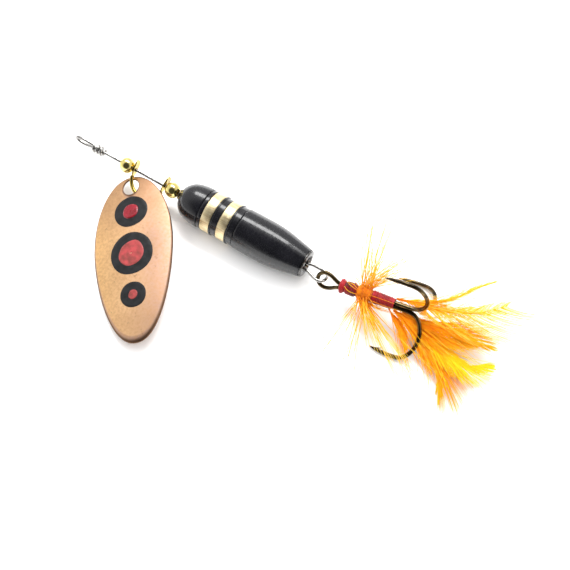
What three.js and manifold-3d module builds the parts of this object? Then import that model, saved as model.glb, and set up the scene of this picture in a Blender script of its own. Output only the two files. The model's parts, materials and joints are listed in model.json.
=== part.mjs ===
// Inline spinner: a wire shaft with a bead, a clevis and its blade, a second bead, a weighted body and a
// dressed treble hook. Lengths in mm. The lure lies on a flat surface at z = 0, +X runs from the line tie
// toward the hook, and every station along the shaft is measured from the tail face of the body.
import * as THREE from "three";
import { mergeVertices } from "three/addons/utils/BufferGeometryUtils.js";
import Module from "manifold-3d";

const wasm = await Module();
wasm.setup();

// Fits
const RUN_GAP = 0.3; // radial gap of a piece that turns or slides on the wire
const SEAT_GAP = 0.12; // gap between two pieces of the body that are fixed together

// Wire shaft
const WIRE_D = 0.8;
const WIRE_R = WIRE_D / 2;
const TIE_TIP = -68.4; // outermost point of the line tie
const TIE_LENGTH = 6.4;
const TIE_HALF = 1.05; // half width of the narrow tie eye, wire centre
const WRAP_TURNS = 2.75;
const WRAP_PITCH = 1.05;
const WRAP_R = WIRE_D + 0.15; // radius of the wrap's wire centre round the shaft
const LOOP_R = 1.75; // rear loop, wire centre
const LOOP_X = 4.2; // centre of the rear loop behind the tail face
const LOOP_SIDE = -0.95;
const LOOP_ROLL = -10; // degrees round the shaft
const TAG_SIDE = -1.1;
const TAG_END = -3.6;

// Beads
const BEAD_D = 4;
const BORE_R = WIRE_R + RUN_GAP;
const UPPER_BEAD_X = -52.62;
const LOWER_BEAD_X = -38.98;

// Clevis: a stirrup with two pierced ears on the shaft
const CLEVIS_X = -45.75;
const CLEVIS_ROLL = 26; // degrees below the horizontal, toward -Y
const CLEVIS_R = 4.5; // bow, wire centre
const CLEVIS_DROP = 0.7; // bow centre below the shaft axis
const CLEVIS_WIRE_R = 0.42;
const EAR_THICK = 0.4;
const EAR_HALF = 1.3;
const EAR_TOP = 2.6;
const EAR_LEAN = 5.5;

// Blade: a shallow domed plate hung by the hole near its upper end
const HOLE_R = 2.15;
const BLADE_TOP = 2.95; // hole centre to the upper end
const BLADE_BOTTOM = 42.5; // hole centre to the lower end
const BLADE_WIDE_AT = 16.5;
const BLADE_HALF = 10.5;
const BLADE_THICK = 0.5;
const BLADE_DOME = 1.2;
const BLADE_YAW = -54; // long axis to the shaft, degrees
const BLADE_ROLL = 20.2; // right edge up
const HOLE_POINT = new THREE.Vector3(-48.9, -4, -1.75);

// Body
const NOSE_X = -36.2;
const COLLAR_R = 1.3;
const COLLAR_THICK = 0.45;
const CORE_R = 1.35;
const BODY_R = 5.3;
const BAND_R = 5.12;
const TAIL_R = 3.55;
const TAIL_BORE_R = 1.85;
const FERRULE_R = 2.6;
const FERRULE_LENGTH = 5.2;
const RIM = 0.45;
const NOSE_END = -29.1;
const FRONT_RING_END = -28;
const BAND_1_END = -25.4;
const SPACER_END = -23.4;
const BAND_2_END = -20.9;
const REAR_RING_END = -18.8;
const FIN_THICK = 0.4;

// Treble hook: its own frame has +X along the shank, with the eye's centre as origin
const HOOK_WIRE_R = 0.52;
const EYE_R = 2.05;
const EYE_END = 3.6; // where the two strands of the eye meet
const SHANK = 21.6; // eye centre to the start of the bends
const GAPE = 11.85; // shank axis to the point leg
const BEND_DEPTH = 4.05;
const POINT_LEG = 6.65;
const BRAZE_GAP = 0.14;
const STRAND_R = HOOK_WIRE_R + BRAZE_GAP; // strand centre to the shank axis
const BARB = 1.5;
const HOOK_ANGLES = [210, 90, 330];
const HOOK_YAW = 8.3;
const HOOK_RISE = 4.5;
// The eye hangs on the far end of the wire loop, this clear of the loop's side
const EYE_CLEARANCE = 0.36;
const EYE_SIDE = LOOP_R - WIRE_R - HOOK_WIRE_R - EYE_CLEARANCE;
const EYE_POINT = new THREE.Vector3(LOOP_X + LOOP_R + 0.15, LOOP_SIDE - EYE_SIDE, 0.25);

// Dressing
const THREAD_BORE_R = STRAND_R + HOOK_WIRE_R + SEAT_GAP;
const THREAD_PITCH = 0.5;
const HEAD_FROM = 3.7;
const HEAD_TO = 5;
const FRONT_THREAD_TO = 8;
const HACKLE_TO = 11.9;
const REAR_THREAD_TO = 17.6;
const FEATHER_THICK = 0.36;

// Pose of the whole lure on the surface
const TILT = 1; // tail down, degrees

const ROUND = 30;
const WIRE_SIDES = 10;
const rad = THREE.MathUtils.degToRad;
const V = (x, y, z) => new THREE.Vector3(x, y, z);

const COLOURS = {
  steel: { color: 0x8b8d90, metalness: 1, roughness: 0.3 },
  brass: { color: 0xd6a93c, metalness: 1, roughness: 0.2 },
  copper: { color: 0xc98a5e, metalness: 1, roughness: 0.45 },
  black: { color: 0x101114, metalness: 0, roughness: 0.2 },
  bronze: { color: 0x4f4232, metalness: 1, roughness: 0.3 },
  thread: { color: 0x8c1220, metalness: 0, roughness: 0.7 },
  orange: { color: 0xf39a1e, metalness: 0, roughness: 0.8 },
  yellow: { color: 0xf6c51f, metalness: 0, roughness: 0.8 },
};

// ---- geometry helpers ----

// Faces turned outward, whichever way the surface was made.
function outward(geometry) {
  const g = geometry.index ? geometry.toNonIndexed() : geometry;
  const p = g.getAttribute("position");
  const [a, b, c] = [V(), V(), V()];
  let volume = 0;
  for (let i = 0; i < p.count; i += 3) {
    a.fromBufferAttribute(p, i);
    b.fromBufferAttribute(p, i + 1);
    c.fromBufferAttribute(p, i + 2);
    volume += a.dot(b.clone().cross(c)) / 6;
  }
  if (volume < 0) {
    for (let i = 0; i < p.count; i += 3) {
      b.fromBufferAttribute(p, i + 1);
      c.fromBufferAttribute(p, i + 2);
      p.setXYZ(i + 1, c.x, c.y, c.z);
      p.setXYZ(i + 2, b.x, b.y, b.z);
    }
  }
  const out = new THREE.BufferGeometry().setAttribute("position", p);
  out.computeVertexNormals();
  return out;
}

// A closed skin through rings of equal count, with a fan at each end.
function loft(rings) {
  const n = rings[0].length;
  const corners = [];
  const put = (...points) => points.forEach((q) => corners.push(q.x, q.y, q.z));
  rings.slice(1).forEach((ring, i) => {
    for (let k = 0; k < n; k++) {
      const next = (k + 1) % n;
      put(rings[i][k], ring[k], ring[next]);
      put(rings[i][k], ring[next], rings[i][next]);
    }
  });
  const cap = (ring, flip) => {
    const middle = ring.reduce((s, q) => s.add(q), V(0, 0, 0)).divideScalar(n);
    for (let k = 0; k < n; k++) {
      const [a, b] = flip ? [ring[(k + 1) % n], ring[k]] : [ring[k], ring[(k + 1) % n]];
      put(middle, a, b);
    }
  };
  cap(rings[0], false);
  cap(rings[rings.length - 1], true);
  const attribute = new THREE.Float32BufferAttribute(corners, 3);
  return outward(new THREE.BufferGeometry().setAttribute("position", attribute));
}

// Round wire along a line of points; radius is a number or a function of the point's index.
function wire(points, radius, sides = WIRE_SIDES) {
  let normal = null;
  const rings = points.map((p, i) => {
    const before = points[Math.max(i - 1, 0)];
    const after = points[Math.min(i + 1, points.length - 1)];
    const along = after.clone().sub(before).normalize();
    if (!normal) normal = Math.abs(along.z) < 0.9 ? V(0, 0, 1) : V(0, 1, 0);
    normal = normal.clone().addScaledVector(along, -normal.dot(along)).normalize();
    const across = along.clone().cross(normal);
    const r = typeof radius === "number" ? radius : radius(i);
    return Array.from({ length: sides }, (_, k) => {
      const t = (2 * Math.PI * k) / sides;
      return p.clone().addScaledVector(normal, r * Math.cos(t)).addScaledVector(across, r * Math.sin(t));
    });
  });
  return loft(rings);
}

// A flat tapered vane along a curve, its width lying across the given up direction.
function vane(curve, halfWidth, halfThick, steps = 14) {
  const rings = [];
  for (let i = 0; i <= steps; i++) {
    const t = i / steps;
    const p = curve.getPointAt(t);
    const along = curve.getTangentAt(t);
    const across = along.clone().cross(V(0, 0, 1)).normalize();
    const up = across.clone().cross(along);
    const w = halfWidth(t);
    rings.push(
      Array.from({ length: 8 }, (_, k) => {
        const a = (2 * Math.PI * k) / 8;
        return p.clone().addScaledVector(across, w * Math.cos(a)).addScaledVector(up, halfThick * Math.sin(a));
      }),
    );
  }
  return loft(rings);
}

// A body of revolution about X from [x, radius] stations; the profile closes on itself.
function turned(stations, sides = ROUND) {
  const profile = [...stations, stations[0]].map(([x, r]) => new THREE.Vector2(r, x));
  const g = new THREE.LatheGeometry(profile, sides);
  g.rotateZ(-Math.PI / 2);
  g.deleteAttribute("uv");
  g.deleteAttribute("normal");
  return outward(mergeVertices(g, 1e-4));
}

function spline(points, count) {
  return new THREE.CatmullRomCurve3(points, false, "centripetal").getSpacedPoints(count);
}

function solid(geometry) {
  const plain = new THREE.BufferGeometry().setAttribute("position", geometry.getAttribute("position"));
  const merged = mergeVertices(plain, 1e-4);
  return new wasm.Manifold(
    new wasm.Mesh({
      numProp: 3,
      vertProperties: merged.attributes.position.array,
      triVerts: new Uint32Array(merged.index.array),
    }),
  );
}

function skin(manifold) {
  const m = manifold.getMesh();
  const g = new THREE.BufferGeometry();
  g.setAttribute("position", new THREE.BufferAttribute(new Float32Array(m.vertProperties), 3));
  g.setIndex(new THREE.BufferAttribute(new Uint32Array(m.triVerts), 1));
  return outward(g);
}

function add(group, name, geometry, look) {
  const mesh = new THREE.Mesh(geometry, new THREE.MeshStandardMaterial(COLOURS[look]));
  mesh.name = name;
  group.add(mesh);
  return mesh;
}

// ---- wire shaft ----

function rearLoop() {
  const points = [V(TAG_END, TAG_SIDE, 0), V(-1.2, TAG_SIDE - 0.02, 0), V(1.2, TAG_SIDE - 0.6, 0)];
  for (let a = -115; a <= 115; a += 23) {
    points.push(V(LOOP_X + LOOP_R * Math.cos(rad(a)), LOOP_SIDE + LOOP_R * Math.sin(rad(a)), 0));
  }
  points.push(V(1.4, 0.6, 0), V(0, 0.22, 0), V(-1.6, 0, 0));
  return spline(points, 44).map((p) => p.applyAxisAngle(V(1, 0, 0), rad(LOOP_ROLL)));
}

function lineTie() {
  const wrapFrom = TIE_TIP + TIE_LENGTH;
  const far = TIE_TIP + WIRE_R;
  const points = [V(wrapFrom + 0.5, 0, 0), V(wrapFrom - 0.8, 0, -0.2)];
  points.push(V(wrapFrom - 2.4, 0, -0.85), V(far + 1.7, 0, -TIE_HALF), V(far + 0.5, 0, -0.72));
  points.push(V(far, 0, 0), V(far + 0.5, 0, 0.72), V(far + 1.7, 0, TIE_HALF));
  points.push(V(wrapFrom - 2.2, 0, WRAP_R + 0.08), V(wrapFrom - 0.7, 0, WRAP_R));
  const eye = spline(points, 40);
  const steps = Math.round(WRAP_TURNS * 12);
  const wrap = Array.from({ length: steps }, (_, i) => {
    const turn = ((i + 1) / steps) * WRAP_TURNS;
    const a = Math.PI / 2 + 2 * Math.PI * turn;
    const r = WRAP_R + 0.45 * Math.max(0, turn - WRAP_TURNS + 0.25);
    return V(wrapFrom - 0.5 + WRAP_PITCH * turn, r * Math.cos(a), r * Math.sin(a));
  });
  return [...eye, ...wrap];
}

function wireShaft() {
  const straight = [-20, -40].map((x) => V(x, 0, 0));
  return wire([...rearLoop(), ...straight, ...lineTie()], WIRE_R);
}

// ---- beads ----

function bead(x) {
  const r = BEAD_D / 2;
  const from = Math.asin(BORE_R / r);
  const stations = Array.from({ length: 15 }, (_, i) => {
    const a = from + ((Math.PI - 2 * from) * i) / 14;
    return [x - r * Math.cos(a), r * Math.sin(a)];
  });
  return turned(stations);
}

// ---- clevis ----

// Frame of the clevis: x along the shaft, y from the shaft toward the bow.
function clevisEar(side) {
  const shape = new THREE.Shape();
  const bottom = CLEVIS_DROP + 0.9;
  shape.moveTo(-EAR_HALF * 0.45, bottom);
  shape.lineTo(-EAR_HALF, 0.4);
  shape.lineTo(-EAR_HALF, -EAR_TOP + 1.1);
  shape.quadraticCurveTo(-EAR_HALF, -EAR_TOP, 0, -EAR_TOP);
  shape.quadraticCurveTo(EAR_HALF, -EAR_TOP, EAR_HALF, -EAR_TOP + 1.1);
  shape.lineTo(EAR_HALF, 0.4);
  shape.lineTo(EAR_HALF * 0.45, bottom);
  shape.closePath();
  shape.holes.push(new THREE.Path().absarc(0, 0, BORE_R, 0, 2 * Math.PI, true));
  const g = new THREE.ExtrudeGeometry(shape, { depth: EAR_THICK, bevelEnabled: false, curveSegments: 9 });
  g.translate(0, 0, -EAR_THICK / 2);
  g.rotateY(Math.PI / 2);
  g.rotateZ(rad(side * EAR_LEAN));
  g.translate(CLEVIS_X + side * (CLEVIS_R * Math.cos(rad(10))), 0, 0);
  return g;
}

function clevisBow() {
  const points = [];
  for (let a = 12; a <= 168; a += 6) {
    points.push(V(CLEVIS_X - CLEVIS_R * Math.cos(rad(a)), CLEVIS_DROP + CLEVIS_R * Math.sin(rad(a)), 0));
  }
  return wire(points, CLEVIS_WIRE_R);
}

function clevis() {
  const ears = [-1, 1].map((side) => solid(outward(clevisEar(side))));
  const joined = ears.reduce((sum, ear) => sum.add(ear), solid(clevisBow()));
  const g = skin(joined);
  g.rotateX(Math.PI + rad(CLEVIS_ROLL));
  return g;
}

// ---- blade ----

// Half width of the outline at a distance l below the hole centre.
function bladeHalf(l) {
  const upper = l < BLADE_WIDE_AT;
  const reach = upper ? BLADE_WIDE_AT + BLADE_TOP : BLADE_BOTTOM - BLADE_WIDE_AT;
  const u = Math.min(Math.abs(l - BLADE_WIDE_AT) / reach, 1);
  return BLADE_HALF * (1 - u ** (upper ? 2 : 1.65)) ** (1 / (upper ? 2.1 : 2.15));
}

function bladeHeight(l, w) {
  const middle = (BLADE_BOTTOM - BLADE_TOP) / 2;
  const reach = (BLADE_BOTTOM + BLADE_TOP) / 2;
  const hole = 1 - (middle / reach) ** 2;
  return BLADE_DOME * (1 - ((l - middle) / reach) ** 2 - (w / BLADE_HALF) ** 2 - hole);
}

function bladeEdge(angle) {
  let [inside, outside] = [HOLE_R, BLADE_BOTTOM + 1];
  for (let i = 0; i < 40; i++) {
    const r = (inside + outside) / 2;
    const l = r * Math.cos(angle);
    const within = l > -BLADE_TOP && l < BLADE_BOTTOM && Math.abs(r * Math.sin(angle)) < bladeHalf(l);
    if (within) inside = r;
    else outside = r;
  }
  return inside;
}

// Closed plate between the hole and the outline, in the blade's frame: x down its length, z out of its face.
function blade() {
  const around = 64;
  const across = 8;
  const rows = [];
  for (let k = 0; k < around; k++) {
    const even = (2 * Math.PI * k) / around;
    const angle = even - 0.45 * Math.sin(2 * even) * (Math.cos(even) > 0 ? 1 : 0);
    const edge = bladeEdge(angle);
    const loop = [];
    for (const face of [1, -1]) {
      for (let i = 0; i <= across; i++) {
        const t = face > 0 ? i / across : 1 - i / across;
        const r = HOLE_R + (edge - HOLE_R) * t;
        const [l, w] = [r * Math.cos(angle), r * Math.sin(angle)];
        loop.push(V(l, w, bladeHeight(l, w) + (face * BLADE_THICK) / 2));
      }
    }
    rows.push(loop);
  }
  const corners = [];
  const put = (...points) => points.forEach((q) => corners.push(q.x, q.y, q.z));
  rows.forEach((row, k) => {
    const next = rows[(k + 1) % around];
    for (let i = 0; i < row.length; i++) {
      const j = (i + 1) % row.length;
      put(row[i], next[i], next[j]);
      put(row[i], next[j], row[j]);
    }
  });
  const attribute = new THREE.Float32BufferAttribute(corners, 3);
  return outward(new THREE.BufferGeometry().setAttribute("position", attribute));
}

// ---- body ----

function ring(from, to, radius, bore = CORE_R + SEAT_GAP) {
  const edge = 0.12;
  return turned([
    [from, bore],
    [from, radius - edge],
    [from + edge, radius],
    [to - edge, radius],
    [to, radius - edge],
    [to, bore],
  ]);
}

// A ring that starts with a thin proud fin.
function finRing(from, to, fin, radius) {
  const bore = CORE_R + SEAT_GAP;
  return turned([
    [from, bore],
    [from, fin],
    [from + FIN_THICK, fin],
    [from + FIN_THICK, radius],
    [to, radius],
    [to, bore],
  ]);
}

function noseCone() {
  const bore = CORE_R + SEAT_GAP;
  return turned([
    [NOSE_X, bore],
    [NOSE_X, 1.8],
    [NOSE_X + 0.35, 2.75],
    [NOSE_X + 1, 3.5],
    [NOSE_X + 2, 4.25],
    [NOSE_X + 3.2, 4.75],
    [NOSE_X + 4.6, 5.05],
    [NOSE_X + 6, 5.2],
    [NOSE_END - 0.15, 5.22],
    [NOSE_END, 5.05],
    [NOSE_END, bore],
  ]);
}

function barrel() {
  const from = REAR_RING_END + SEAT_GAP;
  const to = -RIM - SEAT_GAP;
  const wide = FERRULE_R + SEAT_GAP;
  return turned([
    [from, CORE_R + SEAT_GAP],
    [from, 5.05],
    [from + 0.25, BODY_R - 0.02],
    [-14, BODY_R + 0.02],
    [-10.5, BODY_R - 0.02],
    [-8.4, 5.12],
    [-6.2, 4.78],
    [-4, 4.34],
    [-2, 3.94],
    [to, TAIL_R + 0.1],
    [to, wide],
    [-FERRULE_LENGTH - SEAT_GAP, wide],
    [-FERRULE_LENGTH - SEAT_GAP, CORE_R + SEAT_GAP],
  ]);
}

function tailFerrule() {
  return turned([
    [-FERRULE_LENGTH, TAIL_BORE_R],
    [-FERRULE_LENGTH, FERRULE_R],
    [-RIM, FERRULE_R],
    [-RIM, TAIL_R],
    [-0.12, TAIL_R - 0.1],
    [0, TAIL_R - 0.35],
    [0, TAIL_BORE_R + 0.5],
    [-0.5, TAIL_BORE_R],
  ]);
}

function coreTube() {
  return turned(
    [
      [NOSE_X + 0.1, BORE_R],
      [NOSE_X + 0.1, CORE_R],
      [-FERRULE_LENGTH - 2 * SEAT_GAP, CORE_R],
      [-FERRULE_LENGTH - 2 * SEAT_GAP, BORE_R],
    ],
    24,
  );
}

// ---- treble hook, in its own frame ----

const radial = (angle, r, x) => V(x, r * Math.cos(rad(angle)), r * Math.sin(rad(angle)));

// One hook from its point, round the bend, to the front of its strand.
function hookLine(angle, front) {
  const middle = (GAPE + STRAND_R) / 2;
  const half = (GAPE - STRAND_R) / 2;
  const points = [
    radial(angle, GAPE - 0.5, SHANK - POINT_LEG),
    radial(angle, GAPE - 0.25, SHANK - POINT_LEG * 0.75),
    radial(angle, GAPE - 0.05, SHANK - POINT_LEG * 0.5),
    radial(angle, GAPE + 0.03, SHANK - POINT_LEG * 0.25),
  ];
  for (let a = 90; a >= -90; a -= 12) {
    points.push(radial(angle, middle + half * Math.sin(rad(a)), SHANK + BEND_DEPTH * Math.cos(rad(a))));
  }
  points.push(radial(angle, STRAND_R, front));
  return points;
}

const pointTaper = (i) => [0.06, 0.36, 0.5][i] ?? HOOK_WIRE_R;

function barb(angle) {
  const at = SHANK - POINT_LEG * 0.72;
  const inner = GAPE - 0.55;
  const line = [radial(angle, inner + 0.15, at - 0.2), radial(angle, inner - 0.62, at + BARB)];
  return solid(wire(line, (i) => [0.3, 0.05][i], 6));
}

// Two hooks and the eye, bent from one wire.
function doubleHook() {
  const [first, second] = HOOK_ANGLES;
  const eyeAngle = (first + second) / 2 - 90;
  const middle = radial((first + second) / 2, STRAND_R / 2, 0);
  const half = (STRAND_R * Math.sqrt(3)) / 2;
  const eyeStations = [
    [2.5, 1.05],
    [1.3, 1.72],
    [0, EYE_R],
    [-1.1, 1.75],
    [-1.8, 1],
  ];
  const strand = ([x, w], side) =>
    radial(eyeAngle, side * w, x).addScaledVector(middle, Math.max(0, x / EYE_END));
  const out = eyeStations.map((s) => strand(s, -1));
  const back = eyeStations.map((s) => strand(s, 1)).reverse();
  const neck = (side) => radial(eyeAngle, side * half, EYE_END).add(middle);
  const eye = spline([neck(-1), ...out, V(-EYE_R, 0, 0), ...back, neck(1)], 30);
  const a = hookLine(first, EYE_END + 1);
  const b = hookLine(second, EYE_END + 1).reverse();
  const line = [...a, ...eye, ...b];
  const taper = (i) => Math.min(pointTaper(i), pointTaper(line.length - 1 - i));
  const body = solid(wire(line, taper));
  return skin(body.add(barb(first)).add(barb(second)));
}

function singleHook() {
  const angle = HOOK_ANGLES[2];
  const line = hookLine(angle, EYE_END + 1.6);
  return skin(solid(wire(line, pointTaper)).add(barb(angle)));
}

// Wound thread: a sleeve with one ridge for each turn.
function thread(from, to, radius) {
  const turns = Math.round((to - from) / THREAD_PITCH);
  const stations = [[from, THREAD_BORE_R], [from, radius - 0.14]];
  for (let i = 0; i < turns; i++) {
    const x = from + ((to - from) * (i + 0.5)) / turns;
    stations.push([x, radius]);
    if (i < turns - 1) stations.push([x + (to - from) / turns / 2, radius - 0.1]);
  }
  stations.push([to, radius - 0.14], [to, THREAD_BORE_R]);
  return turned(stations, 20);
}

// Collar of stiff fibres: [angle round the shank, length, lean toward the bends].
const HACKLE_FIBRES = [
  [-8, 16.5, -4],
  [8, 16, -20],
  [16, 16.5, -12],
  [18, 15.5, 37],
  [26, 16, 4],
  [38, 13, -18],
  [54, 12, 28],
  [76, 11, -18],
  [108, 11, -15],
  [128, 11, 12],
  [148, 13, -12],
  [158, 15, 34],
  [172, 17, -6],
  [176, 17.5, 44],
  [184, 18.5, 12],
  [192, 19, 50],
  [232, 4.6, 20],
  [262, 3.4, 10],
  [292, 3.6, 25],
];

function hackle() {
  const hub = turned(
    [
      [FRONT_THREAD_TO + SEAT_GAP, THREAD_BORE_R],
      [FRONT_THREAD_TO + SEAT_GAP, 1.7],
      [FRONT_THREAD_TO + 1.4, 2.05],
      [HACKLE_TO - 1, 1.9],
      [HACKLE_TO, 1.6],
      [HACKLE_TO, THREAD_BORE_R],
    ],
    20,
  );
  const root = (FRONT_THREAD_TO + HACKLE_TO) / 2;
  return skin(
    HACKLE_FIBRES.reduce((sum, [angle, length, lean]) => {
      const tip = radial(angle, 1.7 + length * Math.cos(rad(lean)), root + length * Math.sin(rad(lean)));
      const line = [radial(angle, 1.6, root), radial(angle, 1.7, root).lerp(tip, 0.5), tip];
      return sum.add(solid(wire(line, (i) => [0.42, 0.3, 0.1][i], 6)));
    }, solid(hub)),
  );
}

// Tail feathers: root angle round the shank, then stations of the quill in the hook's frame and half width.
const FEATHERS = [
  ["feather_wisp", "orange", 0.9, [[18.1, 1.45, 1.35], [24.6, 2.1, 1.6], [29.6, 5.3, 1.1], [34.5, 11.2, 0.4], [37.5, 14.2, 0]]],
  ["feather_upper", "orange", 2.3, [[18.1, 1.75, 0.55], [24, 2.2, 0.6], [29.7, 2.7, 0.5], [35.9, 5.3, -0.5], [42.3, 10.2, -1.8]]],
  ["feather_long", "orange", 2, [[18.1, -1.45, 1.35], [21.5, -2.2, 1.2], [24.8, -2.3, 0.8], [29.4, -1.4, -0.1], [34.4, -0.9, -1.1], [42.4, -1.2, -2.7]]],
  ["feather_pointed", "orange", 1.7, [[18.1, -1.75, 0.55], [24, -2.9, -0.3], [27.9, -3.4, -1], [31.6, -3.3, -1.6], [38.4, -1.9, -2.5]]],
  ["feather_yellow", "yellow", 2.7, [[18.1, 0.5, -1.75], [22, -0.8, -2.5], [25.6, -1.9, -3.3], [31.4, -5, -3.5], [37, -7.4, -3.8], [44.4, -4.9, -4.4]]],
  ["feather_curled", "orange", 2.4, [[18.1, -0.5, -2.3], [22, -1.6, -3.2], [25.6, -3.3, -4], [31.4, -6.2, -4.4], [35.2, -11, -4.9], [37, -15.3, -5]]],
  ["feather_short", "orange", 1.1, [[16.6, -0.95, -1.6], [19.8, -3.4, -2.8], [22, -5.8, -4], [23.4, -7.8, -4.7]]],
];

function feather(width, stations) {
  const curve = new THREE.CatmullRomCurve3(stations.map(([x, y, z]) => V(x, y, z)), false, "centripetal");
  const half = (t) => 0.3 + (width - 0.3) * Math.sin(Math.PI * Math.min(1, t * 0.86 + 0.02)) ** 0.8;
  return vane(curve, half, FEATHER_THICK / 2);
}

// ---- assembly ----

const lure = new THREE.Group();
const shaft = new THREE.Group(); // origin on the tail face, +X along the wire toward the hook
shaft.name = "shaft_frame";
shaft.rotation.y = rad(TILT);
lure.add(shaft);

add(shaft, "wire_shaft", wireShaft(), "steel");
add(shaft, "upper_bead", bead(UPPER_BEAD_X), "brass");
add(shaft, "clevis", clevis(), "brass");
add(shaft, "lower_bead", bead(LOWER_BEAD_X), "brass");

const bladeFrame = new THREE.Group();
bladeFrame.position.copy(HOLE_POINT);
bladeFrame.rotation.set(rad(BLADE_ROLL), 0, rad(BLADE_YAW), "ZYX");
shaft.add(bladeFrame);
add(bladeFrame, "blade", blade(), "copper");

const collarEnd = NOSE_X - 2 * SEAT_GAP;
add(shaft, "nose_collar", ring(collarEnd - COLLAR_THICK, collarEnd, COLLAR_R, BORE_R), "brass");
add(shaft, "core_tube", coreTube(), "brass");
add(shaft, "nose_cone", noseCone(), "black");
add(shaft, "front_ring", ring(NOSE_END + SEAT_GAP, FRONT_RING_END, BAND_R - 0.04), "black");
add(shaft, "band_front", ring(FRONT_RING_END + SEAT_GAP, BAND_1_END, BAND_R), "brass");
add(shaft, "band_spacer", finRing(BAND_1_END + SEAT_GAP, SPACER_END, BODY_R, BAND_R - 0.1), "black");
add(shaft, "band_rear", ring(SPACER_END + SEAT_GAP, BAND_2_END, BAND_R), "brass");
add(shaft, "rear_ring", finRing(BAND_2_END + SEAT_GAP, REAR_RING_END, BODY_R, BAND_R - 0.06), "black");
add(shaft, "barrel", barrel(), "black");
add(shaft, "tail_ferrule", tailFerrule(), "steel");

const hook = new THREE.Group(); // origin at the eye's centre, +X along the shank
hook.name = "hook_frame";
hook.position.copy(EYE_POINT);
hook.rotation.set(0, -rad(HOOK_RISE), rad(HOOK_YAW), "ZYX");
shaft.add(hook);
add(hook, "double_hook", doubleHook(), "bronze");
add(hook, "single_hook", singleHook(), "bronze");
add(hook, "thread_head", thread(HEAD_FROM, HEAD_TO, 1.8), "thread");
add(hook, "thread_front", thread(HEAD_TO + SEAT_GAP, FRONT_THREAD_TO, 1.62), "thread");
add(hook, "hackle_collar", hackle(), "orange");
add(hook, "thread_rear", thread(HACKLE_TO + SEAT_GAP, REAR_THREAD_TO, 1.5), "thread");
FEATHERS.forEach(([name, look, width, stations]) => add(hook, name, feather(width, stations), look));

// Lowest point on z = 0 and the origin under the middle of the bounding box.
lure.updateMatrixWorld(true);
const box = new THREE.Box3().setFromObject(lure, true);
const centre = box.getCenter(V());
lure.position.set(-centre.x, -centre.y, -box.min.z);

export default lure;
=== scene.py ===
# Looks of the inline spinner: a lacquered body, a copper blade and a dressed treble on a pale floor.
# Shapes are made in mm in the frames of the shaft, the blade and the hook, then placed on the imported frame.
import json
import math
import random

import bpy
import numpy as np
from mathutils import Matrix, Vector


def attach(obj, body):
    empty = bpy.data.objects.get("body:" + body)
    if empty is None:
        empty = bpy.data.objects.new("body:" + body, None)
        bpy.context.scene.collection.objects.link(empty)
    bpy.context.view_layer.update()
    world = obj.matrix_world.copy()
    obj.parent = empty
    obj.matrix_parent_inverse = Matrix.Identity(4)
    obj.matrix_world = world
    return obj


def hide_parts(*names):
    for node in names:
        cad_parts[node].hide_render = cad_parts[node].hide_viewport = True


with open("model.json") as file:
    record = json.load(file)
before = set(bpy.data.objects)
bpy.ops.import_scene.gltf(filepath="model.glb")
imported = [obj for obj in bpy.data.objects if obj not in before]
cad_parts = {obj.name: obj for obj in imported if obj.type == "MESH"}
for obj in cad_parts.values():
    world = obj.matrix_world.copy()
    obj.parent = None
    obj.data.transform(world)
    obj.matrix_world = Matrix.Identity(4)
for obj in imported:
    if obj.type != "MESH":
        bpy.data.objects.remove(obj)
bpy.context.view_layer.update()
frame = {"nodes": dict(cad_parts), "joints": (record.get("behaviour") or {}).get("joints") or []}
rad = math.radians
scene = bpy.context.scene
dice = random.Random(11)

# ---- sizes, in mm, as in the CAD source ----
WIRE_R = 0.4
TIE_TIP, TIE_LENGTH, TIE_HALF = -68.4, 6.4, 1.05
WRAP_TURNS, WRAP_PITCH, WRAP_R = 2.75, 1.05, 0.95
LOOP_R, LOOP_X, LOOP_SIDE, LOOP_ROLL = 1.75, 4.2, -0.95, -10
TAG_SIDE, TAG_END = -1.1, -3.6
BEAD_R, BORE_R = 2.0, 0.7
UPPER_BEAD_X, LOWER_BEAD_X = -52.62, -38.98
CLEVIS_X, CLEVIS_ROLL, CLEVIS_R, CLEVIS_DROP, CLEVIS_WIRE_R = -45.75, 26, 4.5, 0.7, 0.5
EAR_THICK, EAR_HALF, EAR_TOP, EAR_LEAN = 0.4, 1.3, 2.6, 5.5
HOLE_R, BLADE_TOP, BLADE_BOTTOM, BLADE_WIDE_AT = 2.15, 2.95, 42.5, 16.5
BLADE_HALF, BLADE_THICK, BLADE_DOME = 10.5, 0.5, 1.2
RIM_TONE = 2  # the tone of the blade's rims, past the 0 to 1 of its faces
NOSE_X, NOSE_END, FRONT_RING_END, BAND_1_END = -36.2, -29.1, -28, -25.4
SPACER_END, BAND_2_END, REAR_RING_END = -23.4, -20.9, -18.8
FIN_THICK, BODY_R, BAND_R, TAIL_R, TAIL_BORE_R = 0.4, 5.3, 5.12, 3.55, 1.85
COLLAR_R, COLLAR_THICK, CORE_R, SEAT_GAP, RIM = 1.3, 0.45, 1.35, 0.12, 0.45
FERRULE_R, FERRULE_LENGTH = 2.6, 5.2
HOOK_WIRE_R, EYE_R, EYE_END, SHANK, GAPE = 0.52, 2.05, 3.6, 21.6, 11.85
BEND_DEPTH, POINT_LEG, STRAND_R, BARB = 4.05, 6.65, 0.66, 1.5
HOOK_ANGLES = (210, 90, 330)
THREAD_BORE_R = STRAND_R + HOOK_WIRE_R + SEAT_GAP
HEAD_FROM, HEAD_TO, FRONT_THREAD_TO, HACKLE_TO, REAR_THREAD_TO = 3.7, 5, 8, 11.9, 17.6

# ---- frames ----


def joint(name):
    return next(j for j in frame["joints"] if j["name"] == name)


shaft_line = Vector(joint("body_spin")["axis"])
on_shaft = Vector(joint("body_spin")["pos_m"])
ferrule_points = frame["nodes"]["tail_ferrule"].data.vertices
tail = on_shaft + shaft_line * max((v.co - on_shaft).dot(shaft_line) for v in ferrule_points)


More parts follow.
